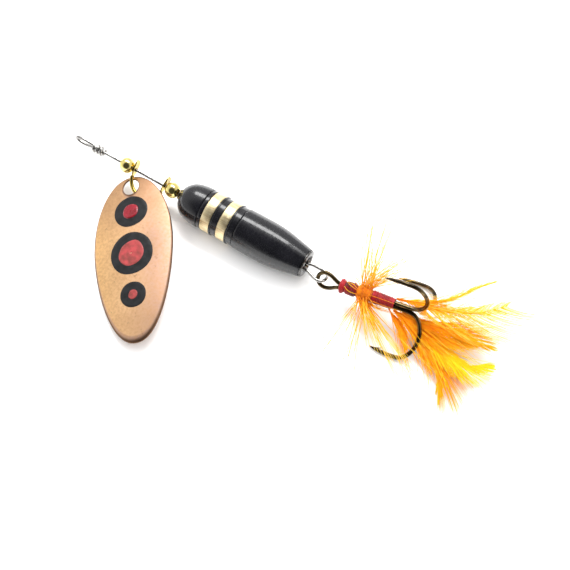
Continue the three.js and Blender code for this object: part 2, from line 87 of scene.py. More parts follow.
def placed(parent, spot, z=0, y=0, x=0):
    """A frame at a spot in its parent, turned by so many degrees about x, then y, then z."""
    turn = Matrix.Rotation(rad(z), 4, "Z") @ Matrix.Rotation(rad(y), 4, "Y") @ Matrix.Rotation(rad(x), 4, "X")
    return parent @ Matrix.Translation(Vector(spot)) @ turn


SHAFT = placed(Matrix.Translation(tail), (0, 0, 0), y=1) @ Matrix.Scale(0.001, 4)
BLADE = placed(SHAFT, (-48.9, -4, -1.75), z=-54, x=20.2)
HOOK = placed(SHAFT, (6.1, -1.42, 0.25), z=8.3, y=-4.5)

# ---- camera and light ----
CAMERA_FROM_TAIL = Vector((0.07497, -0.13240, 0.28749))
AIM_FROM_TAIL = Vector((-0.00298, -0.00539, -0.00511))
KEY_SIDE = (-0.24, 0.49, 0.84)
camera = bpy.data.objects.new("camera", bpy.data.cameras.new("camera"))
scene.collection.objects.link(camera)
scene.camera = camera
camera.data.lens, camera.data.sensor_width, camera.data.clip_start = 85, 36, 0.01
camera.location = tail + CAMERA_FROM_TAIL
camera.rotation_mode = "QUATERNION"
camera.rotation_quaternion = (AIM_FROM_TAIL - CAMERA_FROM_TAIL).to_track_quat("-Z", "Y")
scene.view_settings.view_transform = "Standard"


def softbox(name, toward, distance, size, power, glossy=True):
    """An area light whose first side runs along the lure; glossy False keeps it out of the reflections."""
    data = bpy.data.lights.new(name, "AREA")
    data.shape, data.size, data.size_y = "RECTANGLE", size[0], size[1]
    data.energy = power
    lamp = bpy.data.objects.new(name, data)
    scene.collection.objects.link(lamp)
    lamp.visible_glossy = glossy
    back = Vector(toward).normalized()
    side = (Vector((1, 0, 0)) - back * back.x).normalized()
    turn = Matrix((side, back.cross(side), back)).transposed()
    lamp.location = tail + Vector((-0.02, 0, 0)) + back * distance
    lamp.rotation_mode = "QUATERNION"
    lamp.rotation_quaternion = turn.to_quaternion()


softbox("key_softbox", KEY_SIDE, 0.6, (0.34, 0.2), 2.1, glossy=False)
softbox("top_fill", (0.1, -0.2, 1), 0.6, (1, 1), 7, glossy=False)
# The strip stands nearer than the key, which would hide it from reflections in the same plane.
softbox("strip_light", KEY_SIDE, 0.45, (0.38, 0.14), 2)

# The sky is white, and dark round one direction, so that polished metal has something to reflect.
world = bpy.data.worlds.new("studio")
scene.world = world
world.use_nodes = True
sky = world.node_tree
coord = sky.nodes.new("ShaderNodeTexCoord")
toward = sky.nodes.new("ShaderNodeVectorMath")
toward.operation = "DOT_PRODUCT"
toward.inputs[1].default_value = Vector((0.2, -0.62, 0.76)).normalized()
dark = sky.nodes.new("ShaderNodeMapRange")
dark.interpolation_type = "SMOOTHSTEP"
dark.inputs["From Min"].default_value, dark.inputs["From Max"].default_value = 0.5, 0.82
dark.inputs["To Min"].default_value, dark.inputs["To Max"].default_value = 1.0, 0.06
background = sky.nodes["Background"]
background.inputs["Color"].default_value = (1, 1, 1, 1)
sky.links.new(coord.outputs["Generated"], toward.inputs[0])
sky.links.new(toward.outputs["Value"], dark.inputs["Value"])
sky.links.new(dark.outputs["Result"], background.inputs["Strength"])

# ---- materials ----


class Look:
    """A Principled material with short ways to add noise, ramps and bump."""

    def __init__(self, name, **sockets):
        self.material = bpy.data.materials.new(name)
        self.material.use_nodes = True
        self.tree = self.material.node_tree
        self.bsdf = self.tree.nodes["Principled BSDF"]
        self.coord = self.node("ShaderNodeTexCoord").outputs["Object"]
        for key, value in sockets.items():
            self.bsdf.inputs[key.replace("_", " ")].default_value = value

    def node(self, kind, **values):
        made = self.tree.nodes.new(kind)
        for key, value in values.items():
            setattr(made, key, value)
        return made

    def link(self, a, b):
        self.tree.links.new(a, b)
        return b

    def stretch(self, scale, turn=(0, 0, 0)):
        m = self.node("ShaderNodeMapping")
        m.inputs["Scale"].default_value = scale
        m.inputs["Rotation"].default_value = [rad(a) for a in turn]
        self.link(self.coord, m.inputs["Vector"])
        return m.outputs["Vector"]

    def noise(self, scale, detail=3, vector=None, rough=0.55):
        n = self.node("ShaderNodeTexNoise")
        n.inputs["Scale"].default_value, n.inputs["Detail"].default_value = scale, detail
        n.inputs["Roughness"].default_value = rough
        self.link(vector or self.coord, n.inputs["Vector"])
        return n.outputs["Fac"]

    def tone(self):
        return self.node("ShaderNodeAttribute", attribute_name="tone").outputs["Fac"]

    def along(self, at, length):
        """From 0 at a frame's origin to 1 at so many mm down its x axis."""
        axis = at.to_3x3() @ Vector((1, 0, 0))
        d = self.node("ShaderNodeVectorMath", operation="DOT_PRODUCT")
        self.link(self.coord, d.inputs[0])
        d.inputs[1].default_value = axis / axis.length_squared / length
        origin = at.translation.dot(axis) / axis.length_squared / length
        return self.math("SUBTRACT", d.outputs["Value"], origin)

    def ramp(self, value, *stops):
        r = self.node("ShaderNodeValToRGB")
        while len(r.color_ramp.elements) < len(stops):
            r.color_ramp.elements.new(0.5)
        for element, (place, colour) in zip(r.color_ramp.elements, stops):
            element.position = place
            element.color = (*colour, 1) if hasattr(colour, "__len__") else (colour, colour, colour, 1)
        self.link(value, r.inputs["Fac"])
        return r.outputs["Color"]

    def math(self, operation, a, b):
        m = self.node("ShaderNodeMath", operation=operation)
        for socket, value in zip(m.inputs, (a, b)):
            if isinstance(value, (int, float)):
                socket.default_value = value
            else:
                self.link(value, socket)
        return m.outputs["Value"]

    def mix(self, share, a, b):
        m = self.node("ShaderNodeMix", data_type="RGBA")
        # Inputs 6 and 7 and output 2 are the node's colour sockets.
        for socket, value in zip((m.inputs["Factor"], m.inputs[6], m.inputs[7]), (share, a, b)):
            if isinstance(value, (int, float)):
                socket.default_value = value
            elif isinstance(value, tuple):
                socket.default_value = (*value, 1)
            else:
                self.link(value, socket)
        return m.outputs[2]

    def colour(self, value):
        self.link(value, self.bsdf.inputs["Base Color"])
        return self

    def rough(self, value, low, high):
        m = self.node("ShaderNodeMapRange")
        m.inputs["From Min"].default_value, m.inputs["From Max"].default_value = 0.3, 0.7
        m.inputs["To Min"].default_value, m.inputs["To Max"].default_value = low, high
        self.link(value, m.inputs["Value"])
        self.link(m.outputs["Result"], self.bsdf.inputs["Roughness"])
        return self

    def bump(self, value, strength, distance=0.0001):
        b = self.node("ShaderNodeBump")
        b.inputs["Strength"].default_value, b.inputs["Distance"].default_value = strength, distance
        self.link(value, b.inputs["Height"])
        self.link(b.outputs["Normal"], self.bsdf.inputs["Normal"])
        return self


def steel():
    look = Look("steel_wire", Metallic=1.0)
    drawn = look.noise(900, 2, look.stretch((0.15, 3, 3)))
    stain = look.noise(260, 3)
    look.colour(look.ramp(stain, (0.3, (0.24, 0.23, 0.22)), (0.7, (0.50, 0.49, 0.47))))
    return look.rough(drawn, 0.16, 0.32).bump(drawn, 0.12).material


def brass(name, light=(0.94, 0.80, 0.31), dark=(0.70, 0.55, 0.16)):
    look = Look(name, Metallic=1.0)
    patch = look.noise(420, 4)
    look.colour(look.ramp(patch, (0.3, dark), (0.6, light)))
    fine = look.noise(2600, 2)
    return look.rough(patch, 0.08, 0.2).bump(fine, 0.05).material


def copper():
    """Worn copper with painted light and shade: lighter on its left side and darker on its right as painted shading,
    painted shade toward the hole, a little darker near the tip, and rims painted dark as shade.
    """
    look = Look("satin_copper", Metallic=1.0, Anisotropic=0.25)
    grain = look.noise(1500, 4)
    blotch = look.noise(150, 4)
    specks = look.noise(700, 5, rough=0.7)
    down = look.along(BLADE, 45)
    # side is painted light and shade across the blade: lighter and golden on the left, darker and pinker on the
    # right.
    side = look.ramp(look.tone(), (0.0, (0.93, 0.585, 0.25)), (0.4, (0.89, 0.57, 0.31)),
                     (0.75, (0.62, 0.385, 0.275)), (1.0, (0.60, 0.385, 0.30)))
    worn = look.mix(look.ramp(blotch, (0.35, 0.0), (0.75, 0.45)), side, (0.62, 0.36, 0.17))
    shade = look.mix(look.ramp(grain, (0.38, 0.0), (0.66, 0.5)), worn, (0.60, 0.34, 0.17))
    dotted = look.mix(look.ramp(specks, (0.60, 0.0), (0.72, 0.6)), shade, (0.27, 0.14, 0.08))
    # Painted shade, a dark reflection, toward the hole, broken up by the blotches; also a little darker near the tip.
    hole_shade_tip_dark = look.ramp(down, (0.0, 0.85), (0.12, 0.6), (0.3, 0.0), (0.70, 0.0), (0.82, 0.12), (0.95, 0.0))
    blotchy_hole_shade = look.math("MULTIPLY", hole_shade_tip_dark, look.ramp(blotch, (0.3, 0.55), (0.6, 1.0)))
    hole_shaded = look.mix(blotchy_hole_shade, dotted, (0.42, 0.235, 0.13))
    # The rims are painted dark: painted shade on the blade's edges.
    rim = look.ramp(look.math("MULTIPLY", look.tone(), 1 / RIM_TONE), (0.55, 0.0), (0.85, 0.9))
    look.colour(look.mix(rim, hole_shaded, (0.13, 0.07, 0.04)))
    return look.rough(grain, 0.36, 0.54).bump(grain, 0.36, 0.00003).material


def lacquer():
    look = Look("black_lacquer", Coat_Weight=0.35, Coat_Roughness=0.04, Coat_IOR=1.45, IOR=1.42)
    dust = look.noise(1900, 4)
    film = look.noise(160, 3)
    look.colour(look.ramp(film, (0.3, (0.003, 0.003, 0.004)), (0.7, (0.007, 0.007, 0.009))))
    return look.rough(dust, 0.1, 0.34).bump(dust, 0.09, 0.00003).material


def band_brass():
    look = Look("turned_brass", Metallic=1.0, Anisotropic=0.4)
    lines = look.noise(900, 3, look.stretch((0.3, 6, 6)))
    rings = look.noise(900, 2, look.stretch((8, 0.1, 0.1)))
    look.colour(look.ramp(lines, (0.32, (0.72, 0.54, 0.27)), (0.6, (0.96, 0.84, 0.56))))
    return look.rough(lines, 0.4, 0.58).bump(look.math("ADD", lines, rings), 0.16, 0.00005).material


# The tail rim's bare metal is coloured near black: painted shade for its dark end face and bore.
def rim_metal():
    look = Look("bright_rim", Metallic=1.0)
    cut = look.noise(1400, 3, look.stretch((0.3, 2, 2)))
    look.colour(look.ramp(cut, (0.3, (0.03, 0.03, 0.03)), (0.7, (0.17, 0.165, 0.16))))
    return look.rough(cut, 0.16, 0.34).bump(cut, 0.15).material


def dark_metal(name, dark, light, low, high):
    look = Look(name, Metallic=1.0)
    patch = look.noise(520, 4, look.stretch((0.6, 1, 1)), 0.65)
    look.colour(look.ramp(patch, (0.42, dark), (0.66, light)))
    return look.rough(look.noise(900, 3), low, high).bump(look.noise(1800, 3), 0.12).material


def paint(name, dark, light, gloss, bumpy, coat=0.12):
    look = Look(name, Coat_Weight=coat, Coat_Roughness=0.1, Specular_IOR_Level=0.22)
    skin = look.noise(900, 4)
    look.colour(look.ramp(look.noise(480, 4), (0.35, dark), (0.62, light)))
    return look.rough(skin, gloss, gloss + 0.2).bump(skin, bumpy, 0.0001).material


def thread_look():
    look = Look("red_thread", Sheen_Weight=0.08, Sheen_Roughness=0.4, Specular_IOR_Level=0.35)
    ply = look.noise(2600, 3, look.stretch((3, 1, 1)))
    # tone paints light and shade on the one red floss: the front winding darker, the rear and the head lighter; the
    # noise gives random patches.
    patch = look.math("ADD", look.noise(650, 3), look.math("MULTIPLY", look.tone(), 0.35))
    patchy_shaded_red = look.ramp(patch, (0.46, (0.015, 0.0003, 0.001)), (0.74, (0.25, 0.004, 0.008)))
    look.colour(look.mix(look.ramp(ply, (0.35, 0.0), (0.75, 0.45)), patchy_shaded_red, (0.34, 0.008, 0.018)))
    return look.rough(ply, 0.35, 0.6).bump(ply, 0.4).material


def feather_look(name, *stops, through=0.32):
    """Dyed barbs: deep colour at the root, paler at the tip, and light that comes through them."""
    look = Look(name, Sheen_Weight=0.1, Sheen_Roughness=0.5, Specular_IOR_Level=0.3)
    streak = look.math("MULTIPLY_ADD", look.noise(1300, 3), 0.5)
    streak.node.inputs[2].default_value = -0.25
    place = look.math("ADD", look.tone(), streak)
    colour = look.ramp(place, *stops)
    look.colour(colour)
    look.rough(look.noise(2200, 2), 0.42, 0.62)
    soft = look.node("ShaderNodeBsdfTranslucent")
    look.link(colour, soft.inputs["Color"])
    both = look.node("ShaderNodeMixShader")
    both.inputs[0].default_value = through
    look.link(look.bsdf.outputs["BSDF"], both.inputs[1])
    look.link(soft.outputs["BSDF"], both.inputs[2])
    look.link(both.outputs["Shader"], look.tree.nodes["Material Output"].inputs["Surface"])
    return look.material


ORANGE = ((0.0, (0.82, 0.19, 0.0003)), (0.22, (0.93, 0.30, 0.0006)), (0.5, (0.97, 0.42, 0.001)),
          (0.76, (0.94, 0.58, 0.008)), (1.0, (0.91, 0.74, 0.14)))
YELLOW = ((0.0, (0.93, 0.32, 0.0006)), (0.3, (0.95, 0.50, 0.0015)), (0.6, (0.96, 0.64, 0.004)),
          (1.0, (0.94, 0.77, 0.04)))
HACKLE = ((0.0, (0.50, 0.10, 0.0003)), (0.2, (0.84, 0.26, 0.001)), (0.4, (0.88, 0.50, 0.008)),
          (1.0, (0.84, 0.66, 0.12)))
LOOKS = {
    "steel": steel(),
    "brass": brass("polished_brass"),
    "clevis": brass("clevis_brass", (0.66, 0.50, 0.13), (0.26, 0.18, 0.045)),
    "copper": copper(),
    "black": lacquer(),
    "band": band_brass(),
    "rim": rim_metal(),
    "collar": dark_metal("dark_collar", (0.02, 0.017, 0.014), (0.20, 0.15, 0.09), 0.2, 0.35),
    "core": dark_metal("core_brass", (0.30, 0.22, 0.10), (0.62, 0.46, 0.2), 0.3, 0.5),
    "hook": dark_metal("bronzed_hook", (0.035, 0.025, 0.015), (0.20, 0.145, 0.07), 0.12, 0.28),
    "disc": paint("black_enamel", (0.003, 0.0033, 0.0036), (0.009, 0.0095, 0.0105), 0.3, 0.9),
    "red": paint("red_enamel", (0.12, 0.002, 0.006), (0.22, 0.006, 0.016), 0.16, 0.6, 0.6),
    "dull_red": paint("dull_red_enamel", (0.14, 0.028, 0.024), (0.30, 0.04, 0.042), 0.34, 0.9),
    "thread": thread_look(),
    "hackle": feather_look("dyed_hackle", *HACKLE),
    "orange": feather_look("dyed_orange", *ORANGE),
    "yellow": feather_look("dyed_yellow", *YELLOW),
}

# ---- floor ----
FLOOR_HALF = 3
floor_mesh = bpy.data.meshes.new("floor")
corners = [(FLOOR_HALF * x, FLOOR_HALF * y, 0) for x, y in ((-1, -1), (1, -1), (1, 1), (-1, 1))]
floor_mesh.from_pydata(corners, [], [(0, 1, 2, 3)])
floor = bpy.data.objects.new("floor", floor_mesh)
scene.collection.objects.link(floor)
paper = Look("paper", Specular_IOR_Level=0.0)
paper.colour(paper.ramp(paper.noise(3, 2), (0.3, 0.80), (0.7, 0.82))).rough(paper.noise(40, 2), 0.8, 0.95)
floor_mesh.materials.append(paper.material)

# ---- mesh helpers ----


class Shape:
    """Closed parts in one local frame, in mm, with a tone from 0 to 1 at each point."""

    def __init__(self):
        self.points, self.tones, self.faces = [], [], []
        self.count = 0

    def grid(self, rings, tones, closed=False):
        """Quads between rings of equal count. closed joins the last ring to the first, else each end is capped."""
        rings = np.asarray(rings, float)
        n, m = rings.shape[:2]
        points = rings.reshape(-1, 3)
        index = np.arange(n * m).reshape(n, m)
        if closed:
            index = np.vstack([index, index[:1]])
        beside = np.roll(index, -1, axis=1)
        quads = np.stack([index[:-1], beside[:-1], beside[1:], index[1:]], axis=-1).reshape(-1, 4).tolist()
        tones = np.repeat(np.broadcast_to(np.asarray(tones, float), (n,)), m)
        if not closed:
            middles = np.array([rings[0].mean(0), rings[-1].mean(0)])
            points = np.vstack([points, middles])
            tones = np.append(tones, [tones[0], tones[-1]])
            for middle, ring, flip in ((n * m, index[0], True), (n * m + 1, index[-1], False)):
                for k in range(m):
                    p, q = int(ring[k]), int(ring[(k + 1) % m])
                    quads.append([middle, q, p] if flip else [middle, p, q])
        self.put(points, quads, tones)

    def put(self, points, faces, tones):
        """Adds one closed part, with its faces turned outward if its signed volume is negative."""
        points = np.asarray(points, float)
        middle = points.mean(0)
        corners = np.array([f[:3] for f in faces])
        a, b, c = (points[corners[:, i]] - middle for i in range(3))
        volume = np.einsum("ij,ij->i", a, np.cross(b, c)).sum()
        fours = np.array([f for f in faces if len(f) == 4])
        if len(fours):
            a, b, c = (points[fours[:, i]] - middle for i in (0, 2, 3))
            volume += np.einsum("ij,ij->i", a, np.cross(b, c)).sum()
        base = self.count
        turned_over = volume < 0
        self.faces += [[base + i for i in (reversed(f) if turned_over else f)] for f in faces]
        self.points.append(points)
        self.tones.append(np.asarray(tones, float))
        self.count += len(points)

    def tube(self, line, radius, sides=8, tone=0.5, flat=1.0, up=(0, 0, 1)):
        """A tube along a line, with one radius or one for each point; flat squeezes it along its up direction."""
        line = np.asarray(line, float)
        along = np.gradient(line, axis=0)
        along /= np.linalg.norm(along, axis=1)[:, None]
        normal = np.asarray(up, float)
        if abs(along[0] @ normal) > 0.95:
            normal = np.array([0.0, 1.0, 0.0])
        turn = np.linspace(0, 2 * math.pi, sides, endpoint=False)
        radius = np.broadcast_to(np.asarray(radius, float), (len(line),))
        rings = []
        for p, d, r in zip(line, along, radius):
            normal = normal - d * (d @ normal)
            normal = normal / np.linalg.norm(normal)
            across = np.cross(d, normal)
            rings.append(p + r * (np.outer(np.cos(turn), across) + flat * np.outer(np.sin(turn), normal)))
        self.grid(rings, tone)

    def turned(self, profile, sides=96, tone=0.5):
        """A closed profile of (x, radius) points turned about the x axis."""
        turn = np.linspace(0, 2 * math.pi, sides, endpoint=False)
        rings = [np.stack([np.full(sides, x), r * np.cos(turn), r * np.sin(turn)], 1) for x, r in profile]
        self.grid(rings, tone, closed=True)


def spline(stations, count):
    """Evenly spaced points on a smooth curve through the stations."""
    p = np.array(stations, float)
    p = np.vstack([2 * p[0] - p[1], p, 2 * p[-1] - p[-2]])
    fine = []
    for a, b, c, d in zip(p, p[1:], p[2:], p[3:]):
        t1 = np.linalg.norm(b - a) ** 0.5
        t2 = t1 + np.linalg.norm(c - b) ** 0.5
        t3 = t2 + np.linalg.norm(d - c) ** 0.5
        t = np.linspace(t1, t2, 20, endpoint=False)[:, None]
        ab = a + (b - a) * t / t1
        bc = b + (c - b) * (t - t1) / (t2 - t1)
        cd = c + (d - c) * (t - t2) / (t3 - t2)
        abc, bcd = ab + (bc - ab) * t / t2, bc + (cd - bc) * (t - t1) / (t3 - t1)
        fine.append(abc + (bcd - abc) * (t - t1) / (t2 - t1))
    fine = np.vstack([*fine, p[-2:-1]])
    run = run_of(fine)
    at = np.linspace(0, run[-1], count)
    return np.stack([np.interp(at, run, fine[:, k]) for k in range(fine.shape[1])], 1)


def run_of(line):
    """The length from a line's start to each of its points."""
    return np.append(0, np.cumsum(np.linalg.norm(np.diff(line, axis=0), axis=1)))


FIBRE_CLEARANCE = 0.00006  # metres between soft fibres and the floor


def piece(name, shape, at, body, look, nodes=(), sharp=38, lie=False):
    """Makes one Blender piece from a shape; lie keeps soft fibres on or above the floor."""
    points = np.vstack(shape.points)
    m = np.array(at)
    points = points @ m[:3, :3].T + m[:3, 3]
    if lie:
        points[:, 2] = np.maximum(points[:, 2], FIBRE_CLEARANCE)
    mesh = bpy.data.meshes.new(name)
    mesh.from_pydata(points.tolist(), [], shape.faces)
    mesh.attributes.new("tone", "FLOAT", "POINT").data.foreach_set("value", np.concatenate(shape.tones))
    mesh.polygons.foreach_set("use_smooth", [True] * len(mesh.polygons))
    mesh.materials.append(LOOKS[look])
    mesh.update()
    mesh.set_sharp_from_angle(angle=rad(sharp))
    obj = bpy.data.objects.new(name, mesh)
    scene.collection.objects.link(obj)
    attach(obj, body)
    if nodes:
        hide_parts(*nodes)


# ---- wire shaft ----
loop = [(TAG_END, TAG_SIDE, 0), (-1.2, TAG_SIDE - 0.02, 0), (1.2, TAG_SIDE - 0.6, 0)]
for a in range(-115, 116, 23):
    loop.append((LOOP_X + LOOP_R * math.cos(rad(a)), LOOP_SIDE + LOOP_R * math.sin(rad(a)), 0))
loop += [(1.4, 0.6, 0), (0, 0.22, 0), (-1.6, 0, 0)]
roll_cos, roll_sin = math.cos(rad(LOOP_ROLL)), math.sin(rad(LOOP_ROLL))
loop = spline(loop, 90) @ np.array([[1, 0, 0], [0, roll_cos, roll_sin], [0, -roll_sin, roll_cos]])
wrap_from, far = TIE_TIP + TIE_LENGTH, TIE_TIP + WIRE_R
eye = [(wrap_from + 0.5, 0, 0), (wrap_from - 0.8, 0, -0.2), (wrap_from - 2.4, 0, -0.85)]
eye += [(far + 1.7, 0, -TIE_HALF), (far + 0.5, 0, -0.72), (far, 0, 0), (far + 0.5, 0, 0.72), (far + 1.7, 0, TIE_HALF)]
eye += [(wrap_from - 2.2, 0, WRAP_R + 0.08), (wrap_from - 0.7, 0, WRAP_R)]
turns = np.linspace(0, WRAP_TURNS, 68)[1:]
angle = math.pi / 2 + 2 * math.pi * turns
lift = WRAP_R + 0.45 * np.maximum(0, turns - WRAP_TURNS + 0.25)
wrap = np.stack([wrap_from - 0.5 + WRAP_PITCH * turns, lift * np.cos(angle), lift * np.sin(angle)], 1)
straight = np.stack([np.linspace(-4, wrap_from + 2, 30), np.zeros(30), np.zeros(30)], 1)
wire = Shape()
wire.tube(np.vstack([loop, straight, spline(eye, 80), wrap]), WIRE_R, 20)
piece("formed_wire", wire, SHAFT, "wire", "steel", ["wire_shaft"])

# ---- beads ----
for name, x in (("upper_bead", UPPER_BEAD_X), ("lower_bead", LOWER_BEAD_X)):
    start = math.asin(BORE_R / BEAD_R)
    arc = np.linspace(start, math.pi - start, 60)
    ball = [(x - BEAD_R * math.cos(a), BEAD_R * math.sin(a)) for a in arc]
    ball[0], ball[-1] = (ball[0][0] + 0.05, BORE_R), (ball[-1][0] - 0.05, BORE_R)
    shape = Shape()
    shape.turned(ball, 96)
    piece("polished_" + name, shape, SHAFT, name, "brass", [name])

# ---- clevis ----


def filled_outline(corners, step=24):
    """A closed outline with so many points on each side."""
    p = np.array([*corners, corners[0]], float)
    return np.vstack([np.linspace(a, b, step, endpoint=False) for a, b in zip(p, p[1:])])


def reach_of(outline, angles):
    """Distance from the origin to a star-shaped outline at each angle."""
    line = filled_outline(outline)
    a = np.unwrap(np.arctan2(line[:, 1], line[:, 0]))
    if a[-1] < a[0]:
        a, line = a[::-1], line[::-1]
    r = np.linalg.norm(line, axis=1)
    full = 2 * math.pi
    return np.interp(np.mod(angles - a[0], full), np.append(a, a[0] + full) - a[0], np.append(r, r[0]))


def bend(start, corner, end, count=9):
    """Points on a quadratic curve that turns a corner."""
    start, corner, end = map(np.array, (start, corner, end))
    places = np.linspace(0, 1, count)
    return [tuple((1 - t) ** 2 * start + 2 * t * (1 - t) * corner + t * t * end) for t in places]


bottom = CLEVIS_DROP + 0.9
outline = [(-EAR_HALF * 0.45, bottom), (-EAR_HALF, 0.4)]
outline += bend((-EAR_HALF, 1.1 - EAR_TOP), (-EAR_HALF, -EAR_TOP), (0, -EAR_TOP))
outline += bend((0, -EAR_TOP), (EAR_HALF, -EAR_TOP), (EAR_HALF, 1.1 - EAR_TOP))[1:]
outline += [(EAR_HALF, 0.4), (EAR_HALF * 0.45, bottom)]
EAR_POINTS, EAR_BEVEL, EAR_HOLE_BEVEL, EAR_SEAT = 96, 0.07, 0.05, 10
around = np.linspace(0, 2 * math.pi, EAR_POINTS, endpoint=False)
edge = reach_of(outline, around)
ear_face = EAR_THICK / 2
# Round the sheet: over its outer edge from the inner to the outer face, then back through the hole.
ear_rings = [(edge - EAR_BEVEL, -ear_face), (edge, EAR_BEVEL - ear_face),
             (edge, ear_face - EAR_BEVEL), (edge - EAR_BEVEL, ear_face),
             (BORE_R + EAR_HOLE_BEVEL, ear_face), (BORE_R, ear_face - EAR_HOLE_BEVEL),
             (BORE_R, EAR_HOLE_BEVEL - ear_face), (BORE_R + EAR_HOLE_BEVEL, -ear_face)]
clevis = Shape()
for side in (-1, 1):
    lean = rad(side * EAR_LEAN)
    cl, sl = math.cos(lean), math.sin(lean)
    rings = []
    for r, h in ear_rings:
        y = r * np.sin(around)
        x = CLEVIS_X + side * CLEVIS_R * math.cos(rad(EAR_SEAT))
        rings.append(np.stack([h * cl - y * sl + x, h * sl + y * cl, -r * np.cos(around)], 1))
    clevis.grid(rings, 0.5, closed=True)
BOW_FROM = 12
sweep = np.radians(np.linspace(BOW_FROM, 180 - BOW_FROM, 60))
bow = np.stack([CLEVIS_X - CLEVIS_R * np.cos(sweep), CLEVIS_DROP + CLEVIS_R * np.sin(sweep), 0 * sweep], 1)
clevis.tube(bow, CLEVIS_WIRE_R, 18)
CLEVIS = placed(SHAFT, (0, 0, 0), x=180 + CLEVIS_ROLL)
piece("bent_clevis", clevis, CLEVIS, "clevis", "clevis", ["clevis"])

# ---- blade and its enamel discs ----


def blade_half(l):
    """Half the blade's width at a length from its hole, on one curve above the widest place and one below."""
    upper = l < BLADE_WIDE_AT
    reach_here = BLADE_WIDE_AT + BLADE_TOP if upper else BLADE_BOTTOM - BLADE_WIDE_AT
    u = min(abs(l - BLADE_WIDE_AT) / reach_here, 1)
    return BLADE_HALF * (1 - u ** (2 if upper else 1.65)) ** (1 / (2.1 if upper else 2.15))


def blade_height(l, w):
    """The height of the dished sheet's middle, which is 0 at the hole."""
    middle, span = (BLADE_BOTTOM - BLADE_TOP) / 2, (BLADE_BOTTOM + BLADE_TOP) / 2
    return BLADE_DOME * ((middle / span) ** 2 - ((l - middle) / span) ** 2 - (w / BLADE_HALF) ** 2)


def blade_edge(angle):
    """The reach of the outline from the hole at an angle, found by halving."""
    inside, outside = HOLE_R, BLADE_BOTTOM + 1
    for _ in range(40):
        r = (inside + outside) / 2
        l = r * math.cos(angle)
        if -BLADE_TOP < l < BLADE_BOTTOM and abs(r * math.sin(angle)) < blade_half(l):
            inside = r
        else:
            outside = r
    return inside


BLADE_SPOKES, FACE_STATIONS, RIM_WIDTH = 256, 22, 0.16
face = BLADE_THICK / 2
rim = [(RIM_WIDTH, face), (0.05, face - 0.06), (0.0, face - 0.17)]
rim += [(inset, -h) for inset, h in reversed(rim)]
shares = np.linspace(0, 1, FACE_STATIONS + 2)[1:-1]
inner = HOLE_R + RIM_WIDTH
rows = []
for k in range(BLADE_SPOKES):
    even = 2 * math.pi * k / BLADE_SPOKES
    angle = even - 0.45 * math.sin(2 * even) * (math.cos(even) > 0)  # closer spokes toward the long end
    edge_r = blade_edge(angle)
    outer = edge_r - RIM_WIDTH
    stations = [(HOLE_R + inset, h) for inset, h in reversed(rim)]
    stations += [(inner + (outer - inner) * t, face) for t in shares]
    stations += [(edge_r - inset, h) for inset, h in rim]
    stations += [(outer + (inner - outer) * t, -face) for t in shares]
    row = []
    for r, h in stations:
        l, w = r * math.cos(angle), r * math.sin(angle)
        row.append((l, w, blade_height(l, w) + h))
    rows.append(row)
blade = Shape()
blade.grid(rows, 0.5, closed=True)
# The tone runs across the blade for the copper's painted light and shade; RIM_TONE marks the rims, which the copper
# paints dark as shade.
across = np.clip(0.5 + np.vstack(blade.points)[:, 1] / BLADE_HALF / 2, 0, 1).reshape(BLADE_SPOKES, -1)
outer_rim = len(rim) + FACE_STATIONS
across[:, :len(rim)] = RIM_TONE
across[:, outer_rim:outer_rim + len(rim)] = RIM_TONE
blade.tones = [across.ravel()]
piece("copper_blade_plate", blade, BLADE, "blade", "copper", ["blade"])

ENAMEL_SINK, ENAMEL_LIFT = -0.1, 0.004


def dab(at, radius, height, ragged, seed):
    """A flat drop of enamel on the blade's face, thickest just inside its uneven rim."""
    draw = random.Random(seed)
    waves = [(draw.uniform(0, 2 * math.pi), draw.uniform(0.3, 1) * ragged / (k + 1), k + 2) for k in range(5)]
    rings = []
    levels = [(0.02, True), *((q, False) for q in np.linspace(0.06, 1, 14)), (1.0, True)]
    for share, sunk in levels:
        top = ENAMEL_LIFT + height * min(1, (1 - share) * 7) ** 0.5 * (0.82 + 0.18 * share)
        ring = []
        for a in np.linspace(0, 2 * math.pi, 72, endpoint=False):
            wobble = 1 + sum(size * math.sin(n * a + phase) for phase, size, n in waves) * share
            r = radius * share * wobble
            l, w = at + r * math.cos(a), r * math.sin(a)
            ring.append((l, w, blade_height(l, w) + face + (ENAMEL_SINK if sunk else top)))
        rings.append(ring)
    shape = Shape()
    shape.grid(rings, 0.5)
    return shape


# Each disc: name, place below the hole, radius of the black and of the red, height and look of the red.
DISCS = (
    ("upper", 7.3, 4.4, 2.1, 0.26, "red"),
    ("middle", 19.1, 5.65, 3.5, 0.16, "dull_red"),
    ("lower", 30.2, 3.35, 1.25, 0.16, "dull_red"),
)
for k, (name, at, black_r, red_r, red_height, red_look) in enumerate(DISCS):
    disc = dab(at, black_r, 0.08, 0.02, k)
    piece(name + "_black_disc", disc, BLADE, "blade", "disc", sharp=60)
    spot = dab(at, red_r, red_height, 0.05, 10 + k)
    piece(name + "_red_dot", spot, BLADE, "blade", red_look, sharp=60)

# ---- body ----


SEAT_R = CORE_R + SEAT_GAP
FIN_EDGE = 0.08


def ring_profile(start, end, radius, bore=SEAT_R, bevel=0.12):
    """A ring with rounded corners."""
    corner = [(0, bevel), (0.3 * bevel, 0.3 * bevel), (bevel, 0)]
    front = [(start + dx, radius - dr) for dx, dr in corner]
    back = [(end - dx, radius - dr) for dx, dr in reversed(corner)]
    return [(start, bore), *front, *back, (end, bore)]


def fin_profile(start, end, radius):
    """A ring with a thin proud fin at its start."""
    edge = [(start, SEAT_R), (start, BODY_R - FIN_EDGE), (start + FIN_EDGE, BODY_R)]
    edge += [(start + FIN_THICK - FIN_EDGE, BODY_R), (start + FIN_THICK, BODY_R - FIN_EDGE)]
    return [*edge, (start + FIN_THICK, radius), (end - 0.06, radius), (end, radius - 0.06), (end, SEAT_R)]


def body_piece(name, node, look, profile):
    shape = Shape()
    shape.turned(profile, 128)
    piece(name, shape, SHAFT, "body", look, [node])


